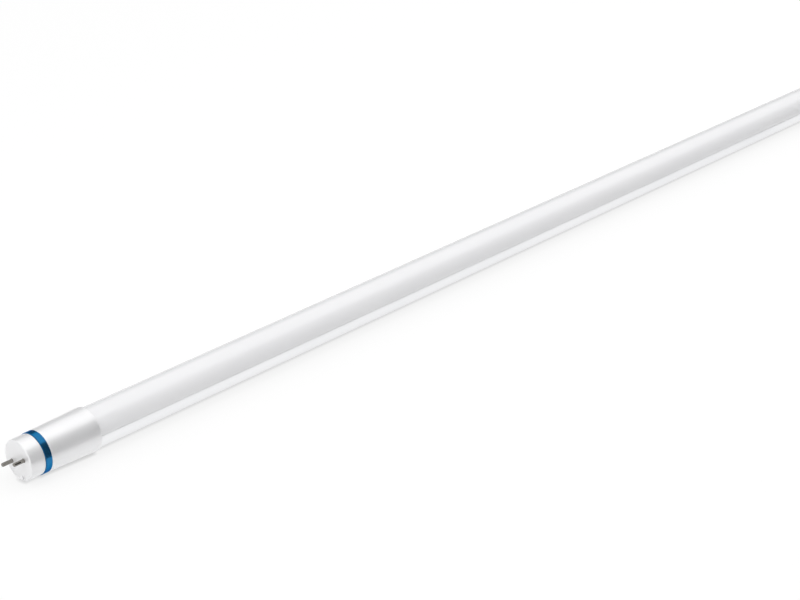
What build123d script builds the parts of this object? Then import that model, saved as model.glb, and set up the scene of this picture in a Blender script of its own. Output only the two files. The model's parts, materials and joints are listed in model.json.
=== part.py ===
from build123d import *

import os
from math import cos, radians, sin

# A T8 LED tube: a half-round opal diffuser on a half-round aluminium heat sink, with end caps that turn in
# their collars. Millimetres and degrees. The origin is on the tube's axis at mid-length, +X runs along the
# tube and +Z is the diffuser's side. A "depth" is a distance inwards from the face of an end cap.

# Whole lamp
face_to_face = 1199.4
rest_turn = 22.5
turn_each_way = 90.0

# Contact pins
pin_spacing = 12.7
pin_radius = 1.175
pin_length = 7.1
pin_tail = 2.5
pin_tip = 0.55
pin_shank_radius = 1.35
pin_fit = 0.02

# Tube section: the two half-round extrusions and the hook joint between them
tube_radius = 12.9
diffuser_wall = 1.0
sink_wall = 1.0
deck_height = 1.0
deck_thick = 1.0
groove_width = 1.2
groove_depth = 1.0
flank_thick = 0.9
foot_thick = 0.9
leg_thick = 0.9
leg_gap = 0.1
leg_root_height = 1.6
leg_root_reach = 0.6
barb_reach = 0.45
barb_height = 0.5

# Screw channels of the heat sink
channel_angle = 26.0
channel_inset = 2.7
channel_outer = 1.8
channel_bore = 1.05
channel_neck = 1.6
channel_slot = 0.9

# LED boards in their rails
led_board_width = 11.0
led_board_thick = 1.0
led_board_setback = 1.0
led_board_joint = 1.0
rail_gap = 0.05
rail_thick = 0.8
rail_lip_reach = 0.7
rail_lip_thick = 0.7
led_length = 2.8
led_width = 3.5
led_height = 0.8
led_pitch = 11.7
link_length = 8.0
link_width = 5.0
link_height = 1.8

# Turning cap
cap_front = 10.3
cap_gap = 0.2
cap_step = 0.4
cap_edge = 1.0
cap_edge_step = 0.3
cap_face_thick = 3.0
lip_clear = 0.1
lip_wall = 1.2
lip_reach = 2.5
hub_radius = 5.0
hub_wall = 1.6
hub_clear = 0.05
snap_height = 0.8
snap_gap = 0.2
snap_length = 1.2
snap_lead = 0.3
snap_slot_width = 1.2
snap_slot_length = 7.0
window_width = 2.8
window_length = 3.6
window_margin = 1.1
lug_angle = 14.0
lug_clear = 0.1
lug_root = 0.3
lug_length = 6.0
lug_gap = 0.3
notch_width = 1.6
notch_length = 2.4
notch_rim = 1.0
notch_depth = 0.8

# Ring and collar
ring_width = 4.3
ring_proud = 0.2
ring_wall = 0.85
ring_clear = 0.05
collar_length = 34.9
collar_ring_step = 0.05
collar_tube_step = 1.1
collar_edge = 0.4
spigot_wall = 0.9
socket_clear = 0.05
bulkhead_depth = 12.4
bulkhead_thick = 3.0
boss_radius = 2.4
boss_length = 5.0
stop_gap = 0.5
stop_screw_gap = 0.3
stop_height = 4.0
stop_margin = 1.0

# Collar screws
screw_head_radius = 2.0
screw_head_height = 1.6
screw_clear = 0.05
screw_hole_clear = 0.15
screw_grip = 9.0
recess_margin = 0.6
recess_width = 0.6
recess_depth = 0.8

# Driver board and what is soldered on it
driver_board_thick = 1.2
driver_board_side_gap = 1.3
driver_board_seat = 0.03
driver_board_margin = 6.0
driver_part_gap = 3.0
strip_thick = 0.3
strip_side_gap = 0.4
fuse_length = 9.0
fuse_radius = 1.6
fuse_cap_radius = 1.8
fuse_cap_length = 1.6
fuse_offset = 3.6
varistor_radius = 3.6
varistor_thick = 3.6
bridge_length = 6.4
bridge_width = 5.2
bridge_height = 2.6
bridge_chamfer = 0.5
choke_radius = 4.0
choke_core_radius = 2.4
choke_height = 8.0
choke_flange = 1.2
choke_coil_gap = 0.05
choke_coil_inset = 0.4
film_length = 10.0
film_width = 4.6
film_height = 7.4
bulk_length = 16.0
bulk_radius = 4.0
chip_length = 4.9
chip_width = 3.9
chip_height = 1.5
chip_leg_pitch = 1.27
chip_leg_width = 0.4
chip_leg_reach = 1.0
chip_leg_thick = 0.2
core_length = 13.0
core_side_gap = 0.45
core_height = 5.0
core_outer_leg = 1.6
core_yoke = 1.8
core_window = 2.2
coil_thick = 1.2
coil_gap = 0.1
output_length = 11.0
output_radius = 3.15
can_crimp = 2.0
can_crimp_depth = 0.35
can_seat = 0.05

# Leads
lead_radius = 0.7
lead_offset = 0.95
lead_drop = 1.8
lead_overlap = 3.0
lead_seat = 0.03
lead_stop = 3.0
wire_radius = 0.3
wire_offset = 3.0
wire_overlap = 2.5
wire_loop = 1.6
pin_link_width = 2.2
pin_link_thick = 0.5
pin_link_overhang = 1.2

# Worked out along the lamp, as depths from the face
half_length = face_to_face / 2
ring_start = cap_front
ring_end = ring_start + ring_width
collar_end = ring_end + collar_length
bulkhead_start = ring_end + bulkhead_depth
bulkhead_end = bulkhead_start + bulkhead_thick
tube_start = bulkhead_end + boss_length
board_start = tube_start + led_board_setback
tube_half = half_length - tube_start

# Worked out across the lamp
sink_inner = tube_radius - sink_wall
diffuser_inner = tube_radius - diffuser_wall
flank_outer = sink_inner - groove_width
flank_inner = flank_outer - flank_thick
deck_bottom = deck_height - deck_thick
leg_inner = flank_outer + leg_gap
leg_outer = leg_inner + leg_thick
leg_bottom = leg_gap - groove_depth
rail_inner = led_board_width / 2 + rail_gap
led_board_top = deck_height + led_board_thick
channel_orbit = sink_inner - channel_inset
channel_height = -channel_orbit * sin(radians(channel_angle))
channel_side = channel_orbit * cos(radians(channel_angle))
ring_radius = tube_radius + ring_proud
spigot_radius = ring_radius - ring_wall - ring_clear
collar_bore = spigot_radius - spigot_wall
collar_front_radius = ring_radius + collar_ring_step
collar_end_radius = tube_radius + collar_tube_step
socket_radius = tube_radius + socket_clear
cap_back = cap_front - cap_gap
cap_radius = ring_radius - cap_step
lip_radius = collar_bore - lip_clear
lip_inner = lip_radius - lip_wall
lip_end = cap_front + lip_reach
hub_bore = hub_radius - hub_wall
snap_start = bulkhead_end + snap_gap
snap_end = snap_start + snap_length
pin_end = cap_face_thick + pin_tail
stop_inner = hub_radius + stop_gap
stop_outer = channel_orbit - screw_head_radius - stop_screw_gap
lug_radius = stop_outer - lug_clear
lug_end = bulkhead_start - lug_gap
screw_radius = channel_bore - screw_clear
screw_end = tube_start + screw_grip

# Worked out on the driver board, which rests on the two screw channels
driver_board_bottom = channel_height + channel_outer + driver_board_seat
driver_board_half = flank_inner - driver_board_side_gap
core_width = 2 * (channel_side - channel_outer - core_side_gap)
driver_order = (
    ("fuse", fuse_length),
    ("varistor", varistor_thick),
    ("bridge", bridge_length),
    ("choke", 2 * choke_radius),
    ("film_one", film_length),
    ("film_two", film_length),
    ("bulk", bulk_length),
    ("chip", chip_length),
    ("transformer", core_length),
    ("output", output_length),
)
driver_board_x = board_start - half_length
driver_place = {}
cursor = driver_board_x + driver_board_margin
for part_name, part_length in driver_order:
    driver_place[part_name] = cursor + part_length / 2
    cursor += part_length + driver_part_gap
driver_board_length = cursor - driver_part_gap + driver_board_margin - driver_board_x

SIDES = (("near", -1), ("far", 1))


def at_depth(side, depth):
    """X of a place at a depth from one end's face."""
    return side * (half_length - depth)


def across(side, depth):
    """Plane across the tube at a depth, its normal pointing inwards and its local y along +Z."""
    return Plane(origin=(at_depth(side, depth), 0, 0), x_dir=(0, -side, 0), z_dir=(-side, 0, 0))


def lengthwise(side):
    """Plane through the axis, with depth along local x and the radius along local y."""
    return Plane(origin=(at_depth(side, 0), 0, 0), x_dir=(-side, 0, 0), z_dir=(0, side, 0))


def inward(side):
    """Axis that sorts shapes from an end's face inwards."""
    return Axis((0, 0, 0), (-side, 0, 0))


def under_board(name, offset=0.0, drop=0.0):
    """Plane on the driver board's underside at a component's place, its normal pointing down."""
    origin = (driver_place[name], offset, driver_board_bottom - drop)
    return Plane(origin=origin, x_dir=(1, 0, 0), z_dir=(0, 0, -1))


def both_sides(y, z):
    """The same place left and right of the tube's middle plane."""
    return Locations((y, z), (-y, z))


def channel_places():
    """The two screw channels' places in a plane across the tube."""
    spread = 180 - 2 * channel_angle
    return PolarLocations(channel_orbit, 2, channel_angle - 180, spread, endpoint=True)


def arc_band(inner, outer, start, size):
    """The edges round a piece of a flat ring."""
    with BuildLine() as outline:
        outer_arc = CenterArc((0, 0), outer, start, size)
        inner_arc = CenterArc((0, 0), inner, start, size)
        Line(outer_arc @ 0, inner_arc @ 0)
        Line(outer_arc @ 1, inner_arc @ 1)
    return outline.edges()


def keep(piece, name):
    """Label a finished piece and write its file."""
    piece.part.label = name
    export_step(piece.part, f"parts/{name}.step")


os.makedirs("parts", exist_ok=True)

# Heat sink: one extrusion with the deck for the LED boards, the diffuser's grooves and the screw channels
with BuildPart() as heat_sink:
    with BuildSketch(Plane.YZ.offset(-tube_half)):
        Circle(tube_radius)
        Circle(sink_inner, mode=Mode.SUBTRACT)
        Rectangle(2 * tube_radius, tube_radius, align=(Align.CENTER, Align.MIN), mode=Mode.SUBTRACT)
        with Locations((0, deck_height)):
            Rectangle(2 * flank_outer, deck_thick, align=(Align.CENTER, Align.MAX))
        flank_height = deck_height + groove_depth + foot_thick
        with both_sides(flank_outer - flank_thick / 2, deck_height):
            Rectangle(flank_thick, flank_height, align=(Align.CENTER, Align.MAX))
        with both_sides((flank_inner + sink_inner) / 2, -groove_depth):
            Rectangle(sink_inner - flank_inner, foot_thick, align=(Align.CENTER, Align.MAX))
        rail_height = led_board_thick + 2 * rail_gap + rail_lip_thick
        with both_sides(rail_inner + rail_thick / 2, deck_height):
            Rectangle(rail_thick, rail_height, align=(Align.CENTER, Align.MIN))
        lip_width = rail_lip_reach + rail_thick
        with both_sides(rail_inner - rail_lip_reach + lip_width / 2, deck_height + rail_height):
            Rectangle(lip_width, rail_lip_thick, align=(Align.CENTER, Align.MAX))
        with channel_places():
            Circle(channel_outer)
            Rectangle(channel_inset + sink_wall / 2, channel_neck, align=(Align.MIN, Align.CENTER))
        with channel_places():
            Circle(channel_bore, mode=Mode.SUBTRACT)
            Rectangle(2 * channel_outer, channel_slot, align=(Align.MAX, Align.CENTER), mode=Mode.SUBTRACT)
        undercut_depth = leg_outer + barb_reach + leg_gap - flank_outer
        undercut_height = barb_height + 2 * leg_gap
        with both_sides(flank_outer + undercut_depth / 2, -groove_depth):
            Rectangle(undercut_depth, undercut_height, align=(Align.CENTER, Align.MIN), mode=Mode.SUBTRACT)
    extrude(amount=2 * tube_half)
keep(heat_sink, "heat_sink")

# Diffuser: a half-round shell whose two hooked legs slide into the heat sink's grooves
with BuildPart() as diffuser:
    with BuildSketch(Plane.YZ.offset(-tube_half)):
        Circle(tube_radius)
        Circle(diffuser_inner, mode=Mode.SUBTRACT)
        Rectangle(2 * tube_radius, tube_radius, align=(Align.CENTER, Align.MAX), mode=Mode.SUBTRACT)
        leg_root_width = leg_thick + leg_root_reach
        with both_sides(leg_inner + leg_root_width / 2, 0):
            Rectangle(leg_root_width, leg_root_height, align=(Align.CENTER, Align.MIN))
        with both_sides(leg_inner + leg_thick / 2, leg_bottom):
            Rectangle(leg_thick, -leg_bottom, align=(Align.CENTER, Align.MIN))
        barb_width = leg_thick + barb_reach
        with both_sides(leg_inner + barb_width / 2, leg_bottom):
            Rectangle(barb_width, barb_height, align=(Align.CENTER, Align.MIN))
    extrude(amount=2 * tube_half)
keep(diffuser, "diffuser")

# LED boards: one in each half of the tube, with the packages in a row along the middle
board_length = tube_half - led_board_setback - led_board_joint / 2
led_count = int(board_length // led_pitch)
for end, side in SIDES:
    board_middle = side * (led_board_joint + board_length) / 2
    with BuildPart() as led_board:
        with BuildSketch(Plane((board_middle, 0, deck_height))):
            Rectangle(board_length, led_board_width)
        extrude(amount=led_board_thick)
    keep(led_board, f"led_board_{end}")

    with BuildPart() as led_packages:
        with BuildSketch(Plane((board_middle, 0, led_board_top))):
            with GridLocations(led_pitch, led_width, led_count, 1):
                Rectangle(led_length, led_width)
        extrude(amount=led_height)
    keep(led_packages, f"{end}_led_packages")

# Connector that bridges the two LED boards
with BuildPart() as board_link:
    with BuildSketch(Plane.XY.offset(led_board_top)):
        Rectangle(link_length, link_width)
    extrude(amount=link_height)
    chamfer(board_link.faces().sort_by(Axis.Z)[-1].edges(), link_height / 4)
keep(board_link, "board_link")

# End pieces: collar, ring, cap, pins and screws, the same at both ends
for end, side in SIDES:
    turn = side * rest_turn

    # Collar: a slightly tapered sleeve with the tube's socket behind and the cap's bearing in front
    with BuildPart() as collar:
        with BuildSketch(lengthwise(side)):
            rim = min(collar_edge, (collar_end_radius - socket_radius) / 2)
            with BuildLine():
                Polyline(
                    (ring_start, collar_bore),
                    (ring_start, spigot_radius),
                    (ring_end, spigot_radius),
                    (ring_end, collar_front_radius),
                    (collar_end - rim, collar_end_radius),
                    (collar_end, collar_end_radius - rim),
                    (collar_end, socket_radius),
                    (tube_start, socket_radius),
                    (tube_start, collar_bore),
                    close=True,
                )
            make_face()
        revolve(axis=Axis.X)
        with BuildSketch(across(side, bulkhead_start)):
            Circle(collar_bore + spigot_wall / 2)
        extrude(amount=bulkhead_thick)
        with BuildSketch(across(side, bulkhead_end)):
            with channel_places():
                Circle(boss_radius)
        extrude(amount=boss_length)
        lug_clear_angle = lug_angle / 2 + stop_margin
        stop_size = 360 - 2 * turn_each_way - 2 * lug_clear_angle
        with BuildSketch(across(side, bulkhead_start)):
            make_face(arc_band(stop_inner, stop_outer, 270 - stop_size / 2, stop_size))
        extrude(amount=-stop_height)
        with BuildSketch(across(side, bulkhead_start)):
            Circle(hub_radius + hub_clear)
            with channel_places():
                Circle(screw_radius + screw_hole_clear)
        extrude(amount=bulkhead_thick + boss_length, mode=Mode.SUBTRACT)
    keep(collar, f"{end}_collar")

    # Coloured ring on the collar's spigot
    with BuildPart() as ring:
        with BuildSketch(across(side, ring_start)):
            Circle(ring_radius)
            Circle(spigot_radius + ring_clear, mode=Mode.SUBTRACT)
        extrude(amount=ring_width)
    keep(ring, f"{end}_ring")

    # Turning cap: face, skirt, guiding lip and a slotted hub that snaps behind the bulkhead
    with BuildPart() as cap:
        with BuildSketch(lengthwise(side)):
            with BuildLine():
                Polyline(
                    (0, 0),
                    (0, cap_radius - cap_edge),
                    (cap_edge_step, cap_radius - cap_edge_step),
                    (cap_edge, cap_radius),
                    (cap_back, cap_radius),
                    (cap_back, lip_radius),
                    (lip_end, lip_radius),
                    (lip_end, lip_inner),
                    (cap_face_thick, lip_inner),
                    (cap_face_thick, hub_radius),
                    (snap_start, hub_radius),
                    (snap_start, hub_radius + snap_height),
                    (snap_end, hub_radius - snap_lead),
                    (snap_end, hub_bore),
                    (cap_face_thick, hub_bore),
                    (cap_face_thick, 0),
                    close=True,
                )
            make_face()
        revolve(axis=Axis.X)
        with BuildSketch(across(side, lug_end)):
            lug_start = turn + 90 - lug_angle / 2
            make_face(arc_band(hub_radius - lug_root, lug_radius, lug_start, lug_angle))
        extrude(amount=-lug_length)
        with BuildSketch(across(side, 0)):
            with PolarLocations(pin_spacing / 2, 2, turn):
                Circle(pin_shank_radius + pin_fit)
        extrude(amount=cap_face_thick, mode=Mode.SUBTRACT)
        with BuildSketch(across(side, pin_end - window_margin)):
            Rectangle(2 * (hub_radius + hub_wall), window_width, rotation=turn)
        extrude(amount=window_length, mode=Mode.SUBTRACT)
        with BuildSketch(across(side, snap_end)):
            with PolarLocations(0, 2, turn + 45, 180):
                Rectangle(2 * (hub_radius + 2 * snap_height), snap_slot_width)
        extrude(amount=-snap_slot_length, mode=Mode.SUBTRACT)
        with BuildSketch(across(side, 0)):
            notch_middle = cap_radius - notch_rim - notch_length / 2
            with PolarLocations(notch_middle, 1, turn - 90):
                Rectangle(notch_length, notch_width)
        extrude(amount=notch_depth, both=True, mode=Mode.SUBTRACT)
    keep(cap, f"{end}_cap")

    # Contact pins: blunt-tipped, each with a thicker shank pressed into the cap's face
    with BuildPart() as pins:
        with BuildSketch(across(side, -pin_length)):
            with PolarLocations(pin_spacing / 2, 2, turn):
                Circle(pin_radius)
        extrude(amount=pin_length)
        tips = pins.faces().group_by(inward(side))[0]
        chamfer(tips.edges(), pin_tip)
        with BuildSketch(across(side, 0)):
            with PolarLocations(pin_spacing / 2, 2, turn):
                Circle(pin_shank_radius)
        extrude(amount=pin_end)
    keep(pins, f"{end}_pins")

    # Two screws from the bulkhead into the heat sink's channels
    with BuildPart() as screws:
        with BuildSketch(across(side, bulkhead_start)):
            with channel_places():
                Circle(screw_head_radius)
        extrude(amount=-screw_head_height)
        with BuildSketch(across(side, bulkhead_start)):
            with channel_places():
                Circle(screw_radius)
        extrude(amount=screw_end - bulkhead_start)
        with BuildSketch(across(side, bulkhead_start - screw_head_height)):
            with channel_places():
                Rectangle(2 * (screw_head_radius - recess_margin), recess_width)
                Rectangle(recess_width, 2 * (screw_head_radius - recess_margin))
        extrude(amount=recess_depth, mode=Mode.SUBTRACT)
    keep(screws, f"{end}_collar_screws")

# Strip that joins the two far pins through the windows of the far cap's hub
with BuildPart() as far_pin_link:
    with BuildSketch(across(1, pin_end)):
        Rectangle(pin_spacing + 2 * pin_link_overhang, pin_link_width, rotation=rest_turn)
    extrude(amount=pin_link_thick)
keep(far_pin_link, "far_pin_link")

# Driver board on the screw channels, and the film between it and the deck
with BuildPart() as driver_board:
    with BuildSketch(Plane((driver_board_x + driver_board_length / 2, 0, driver_board_bottom))):
        Rectangle(driver_board_length, 2 * driver_board_half)
    extrude(amount=driver_board_thick)
keep(driver_board, "driver_board")

with BuildPart() as insulating_strip:
    with BuildSketch(Plane((driver_board_x + driver_board_length / 2, 0, deck_bottom))):
        Rectangle(driver_board_length, 2 * (flank_inner - strip_side_gap))
    extrude(amount=-strip_thick)
keep(insulating_strip, "insulating_strip")

# Driver components, in order along the board
with BuildPart() as fuse_resistor:
    fuse_middle = Plane.YZ.offset(driver_place["fuse"])
    fuse_height = driver_board_bottom - fuse_cap_radius
    with BuildSketch(fuse_middle):
        with Locations((fuse_offset, fuse_height)):
            Circle(fuse_radius)
    extrude(amount=fuse_length / 2, both=True)
    for hand in (-1, 1):
        with BuildSketch(fuse_middle.offset(hand * fuse_length / 2)):
            with Locations((fuse_offset, fuse_height)):
                Circle(fuse_cap_radius)
        extrude(amount=-hand * fuse_cap_length)
keep(fuse_resistor, "fuse_resistor")

with BuildPart() as varistor:
    with BuildSketch(Plane.YZ.offset(driver_place["varistor"])):
        with Locations((0, driver_board_bottom - varistor_radius)):
            Circle(varistor_radius)
    extrude(amount=varistor_thick / 2, both=True)
keep(varistor, "varistor")

with BuildPart() as bridge_rectifier:
    with BuildSketch(under_board("bridge")):
        Rectangle(bridge_length, bridge_width)
    extrude(amount=bridge_height)
    chamfer(bridge_rectifier.faces().sort_by(Axis.Z)[0].edges(), bridge_chamfer)
keep(bridge_rectifier, "bridge_rectifier")

with BuildPart() as filter_choke_core:
    with BuildSketch(under_board("choke")):
        Circle(choke_core_radius)
    extrude(amount=choke_height)
    for drop in (0, choke_height - choke_flange):
        with BuildSketch(under_board("choke", drop=drop)):
            Circle(choke_radius)
        extrude(amount=choke_flange)
keep(filter_choke_core, "filter_choke_core")

with BuildPart() as filter_choke_coil:
    with BuildSketch(under_board("choke", drop=choke_flange + choke_coil_gap)):
        Circle(choke_radius - choke_coil_inset)
        Circle(choke_core_radius + choke_coil_gap, mode=Mode.SUBTRACT)
    extrude(amount=choke_height - 2 * choke_flange - 2 * choke_coil_gap)
keep(filter_choke_coil, "filter_choke_coil")

with BuildPart() as film_capacitors:
    for name in ("film_one", "film_two"):
        with BuildSketch(under_board(name)):
            Rectangle(film_length, film_width)
        extrude(amount=film_height)
keep(film_capacitors, "film_capacitors")

with BuildPart() as controller_chip:
    with BuildSketch(under_board("chip", drop=chip_leg_thick)):
        Rectangle(chip_length, chip_width)
    extrude(amount=chip_height - chip_leg_thick)
    with BuildSketch(under_board("chip")):
        with GridLocations(chip_leg_pitch, chip_width, 4, 2):
            Rectangle(chip_leg_width, 2 * chip_leg_reach)
    extrude(amount=chip_leg_thick)
keep(controller_chip, "controller_chip")

# Transformer: the coil stands on the board and the two-window core sits in it
with BuildPart() as transformer_core:
    with BuildSketch(under_board("transformer", drop=coil_thick)):
        Rectangle(core_length, core_width)
        window_middle = core_width / 2 - core_outer_leg - core_window / 2
        with Locations((0, window_middle), (0, -window_middle)):
            Rectangle(core_length - 2 * core_yoke, core_window, mode=Mode.SUBTRACT)
    extrude(amount=core_height)
keep(transformer_core, "transformer_core")

with BuildPart() as transformer_coil:
    coil_length = core_length - 2 * core_yoke - 2 * coil_gap
    coil_width = core_width - 2 * core_outer_leg - 2 * coil_gap
    middle_leg = core_width - 2 * core_outer_leg - 2 * core_window
    with BuildSketch(under_board("transformer")):
        Rectangle(coil_length, coil_width)
    extrude(amount=core_height + 2 * coil_thick)
    with BuildSketch(under_board("transformer", drop=coil_thick - coil_gap)):
        Rectangle(coil_length, middle_leg + 2 * coil_gap)
    extrude(amount=core_height + 2 * coil_gap, mode=Mode.SUBTRACT)
keep(transformer_coil, "transformer_coil")

# Two electrolytic capacitors that lie along the board, each a can with a crimped groove
cans = (
    ("bulk_capacitor", "bulk", bulk_length, bulk_radius),
    ("output_capacitor", "output", output_length, output_radius),
)
for name, place, length, radius in cans:
    can_height = driver_board_bottom - can_seat - radius
    can_start = driver_place[place] - length / 2
    with BuildPart() as can:
        with BuildSketch(Plane((can_start, 0, can_height), x_dir=(1, 0, 0), z_dir=(0, -1, 0))):
            with BuildLine():
                Polyline(
                    (0, 0),
                    (0, radius),
                    (can_crimp - can_crimp_depth, radius),
                    (can_crimp, radius - can_crimp_depth),
                    (can_crimp + can_crimp_depth, radius),
                    (length, radius),
                    (length, 0),
                    close=True,
                )
            make_face()
        revolve(axis=Axis((0, 0, can_height), (1, 0, 0)))
    keep(can, name)

# Supply leads: from the driver board's underside through the near cap's hub
with BuildPart() as supply_leads:
    lead_height = driver_board_bottom - lead_seat - lead_radius
    for hand in (-1, 1):
        with BuildLine():
            lead_route = Polyline(
                (at_depth(-1, board_start + lead_overlap), hand * lead_offset, lead_height),
                (at_depth(-1, tube_start), hand * lead_offset, lead_height),
                (at_depth(-1, snap_end + hub_wall / 2), hand * lead_offset, -lead_drop),
                (at_depth(-1, cap_face_thick + lead_stop), hand * lead_offset, -lead_drop),
            )
        with BuildSketch(Plane(origin=lead_route @ 0, z_dir=lead_route % 0)):
            Circle(lead_radius)
        sweep(transition=Transition.RIGHT)
keep(supply_leads, "supply_leads")

# Output wires: from the driver board's underside round the end of the deck to the LED board
with BuildPart() as output_leads:
    wire_low = driver_board_bottom - lead_seat - wire_radius
    wire_high = led_board_top + lead_seat + wire_radius
    for hand in (-1, 1):
        with BuildLine():
            wire_route = Polyline(
                (at_depth(-1, board_start + wire_overlap), hand * wire_offset, wire_low),
                (at_depth(-1, tube_start - wire_loop), hand * wire_offset, wire_low),
                (at_depth(-1, tube_start - wire_loop), hand * wire_offset, wire_high),
                (at_depth(-1, board_start + wire_overlap), hand * wire_offset, wire_high),
            )
        with BuildSketch(Plane(origin=wire_route @ 0, z_dir=wire_route % 0)):
            Circle(wire_radius)
        sweep(transition=Transition.RIGHT)
keep(output_leads, "output_leads")
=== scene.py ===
import json
from math import asin, atan2, cos, pi, radians, sin, sqrt, tan

import bmesh
import bpy
from bpy.props import FloatProperty, FloatVectorProperty, IntProperty, PointerProperty
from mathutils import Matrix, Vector


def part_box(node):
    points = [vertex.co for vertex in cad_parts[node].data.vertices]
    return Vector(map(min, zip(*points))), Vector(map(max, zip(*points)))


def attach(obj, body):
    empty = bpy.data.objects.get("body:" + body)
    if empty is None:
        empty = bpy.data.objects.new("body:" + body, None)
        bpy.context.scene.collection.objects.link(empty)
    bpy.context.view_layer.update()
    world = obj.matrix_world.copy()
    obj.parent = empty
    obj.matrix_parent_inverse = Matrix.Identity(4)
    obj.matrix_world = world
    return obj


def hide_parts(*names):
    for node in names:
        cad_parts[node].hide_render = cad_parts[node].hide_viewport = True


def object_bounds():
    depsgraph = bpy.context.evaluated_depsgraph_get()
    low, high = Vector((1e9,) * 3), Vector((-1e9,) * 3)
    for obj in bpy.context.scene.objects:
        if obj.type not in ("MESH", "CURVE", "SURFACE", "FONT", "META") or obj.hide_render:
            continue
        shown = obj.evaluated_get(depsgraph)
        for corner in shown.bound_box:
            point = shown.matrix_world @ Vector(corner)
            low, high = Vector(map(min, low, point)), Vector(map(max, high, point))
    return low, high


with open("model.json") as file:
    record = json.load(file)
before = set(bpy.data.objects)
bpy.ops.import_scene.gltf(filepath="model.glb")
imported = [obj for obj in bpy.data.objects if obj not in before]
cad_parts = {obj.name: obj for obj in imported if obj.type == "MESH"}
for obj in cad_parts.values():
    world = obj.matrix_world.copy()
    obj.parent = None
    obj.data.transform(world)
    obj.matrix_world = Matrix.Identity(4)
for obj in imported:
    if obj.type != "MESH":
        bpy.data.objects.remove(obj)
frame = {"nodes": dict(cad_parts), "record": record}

bl_info = {
    "name": "LED tube lamp",
    "version": (1, 0, 0),
    "blender": (4, 5, 0),
    "location": "View3D > Sidebar > Lamp",
    "description": "Dresses the packed tube lamp with its extrusions, end pieces, LED rows and finishes",
    "category": "Object",
}

MM = 0.001
TINY = 0.001 * MM
CAD_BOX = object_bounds()
FACE_X = -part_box("near_cap")[0].x
TUBE_X = -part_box("diffuser")[0].x
TUBE_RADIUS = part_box("diffuser")[1].z
ENDS = (("near", -1), ("far", 1))

# Sizes across the tube, the same as the solids have
WALL = 1.0 * MM
SHELL_INNER = TUBE_RADIUS - WALL
DECK_TOP = 1.0 * MM
DECK_BOTTOM = 0.0
FLANK_INNER = 9.8 * MM
FLANK_OUTER = 10.7 * MM
FOOT_BOTTOM = -1.9 * MM
FOOT_TOP = -1.0 * MM
UNDERCUT_SIDE = 12.25 * MM
UNDERCUT_TOP = -0.3 * MM
RAIL_INNER = 5.55 * MM
RAIL_OUTER = 6.35 * MM
RAIL_LIP = 4.85 * MM
RAIL_LIP_UNDER = 2.1 * MM
RAIL_TOP = 2.8 * MM
CHANNEL_ORBIT = 9.2 * MM
CHANNEL_ANGLE = radians(-26)
CHANNEL_OUTER = 1.8 * MM
CHANNEL_BORE = 1.05 * MM
CHANNEL_NECK = 0.8 * MM
CHANNEL_SLOT = 0.45 * MM
LEG_INNER = 10.8 * MM
LEG_OUTER = 11.7 * MM
LEG_ROOT_TOP = 1.6 * MM
LEG_BOTTOM = -0.9 * MM
BARB_SIDE = 12.15 * MM
BARB_TOP = -0.4 * MM

# Depths inwards from a cap's face, and radii, of the end pieces
RING_START = 10.3 * MM
RING_END = 14.6 * MM
RING_RADIUS = 13.1 * MM
RING_BORE = 12.25 * MM
CAP_RADIUS = 12.7 * MM
CAP_BACK = 10.1 * MM
CAP_FACE = 3.0 * MM
LIP_END = 12.8 * MM
LIP_RADIUS = 11.2 * MM
LIP_INNER = 10.0 * MM
HUB_RADIUS = 5.0 * MM
HUB_BORE = 3.4 * MM
SNAP_START = 30.2 * MM
SNAP_END = 31.4 * MM
SNAP_RADIUS = 5.8 * MM
SNAP_LEAD = 4.7 * MM
SNAP_SLOT = 1.2 * MM
SNAP_SLOT_START = 24.4 * MM
WINDOW_START = 4.4 * MM
WINDOW_END = 8.0 * MM
WINDOW_WIDTH = 2.8 * MM
CROSS_LENGTH = 13.2 * MM
LUG_START = 20.7 * MM
LUG_END = 26.7 * MM
LUG_INNER = 4.7 * MM
LUG_RADIUS = 6.8 * MM
LUG_ANGLE = radians(14)
NOTCH_ORBIT = 10.5 * MM
NOTCH_LENGTH = 2.4 * MM
NOTCH_WIDTH = 1.6 * MM
NOTCH_DEPTH = 0.8 * MM
SPIGOT_RADIUS = 12.2 * MM
COLLAR_BORE = 11.3 * MM
COLLAR_FRONT = 13.15 * MM
COLLAR_REAR = 14.0 * MM
COLLAR_END = 49.5 * MM
SOCKET_RADIUS = 12.95 * MM
SOCKET_START = 35.0 * MM
BULKHEAD_START = 27.0 * MM
BULKHEAD_END = 30.0 * MM
HUB_HOLE = 5.05 * MM
BOSS_RADIUS = 2.4 * MM
SCREW_HOLE = 1.15 * MM
STOP_INNER = 5.5 * MM
STOP_OUTER = 6.9 * MM
STOP_START = 23.0 * MM
STOP_ANGLE = radians(164)
PIN_ORBIT = 6.35 * MM
PIN_RADIUS = 1.175 * MM
PIN_LENGTH = 7.1 * MM
PIN_SHANK = 1.35 * MM
PIN_HOLE = 1.37 * MM
PIN_END = 5.5 * MM

# Directions across the lamp, from +Y towards +Z: the pins' line at rest, and what is set square to it
PIN_LINE = radians(157.5)
NOTCH_WAY = PIN_LINE + pi / 2
LUG_WAY = PIN_LINE - pi / 2

# Fineness and margins of the drawn shapes: steps of a rounded corner, the angle from which an edge stays
# sharp, how far joined and cutting shapes run past a face, and how far a piece may leave its solid's place
CORNER_STEPS = 6
FINE_CORNER_STEPS = 8
LUG_STEPS = 8
SHARP_ANGLE = radians(32)
JOIN_OVERLAP = 0.2 * MM
CUT_OVERLAP = 0.5 * MM
PLACE_MARGIN = 0.3 * MM

# Octaves of the slow drift and the fine grain, the stretch of a grain drawn along the tube, and the IOR of
# polycarbonate
DRIFT_DETAIL = 2.0
GRAIN_DETAIL = 3.0
DRAWN_STRETCH = (0.01, 1, 1)
POLYCARBONATE_IOR = 1.585

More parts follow.
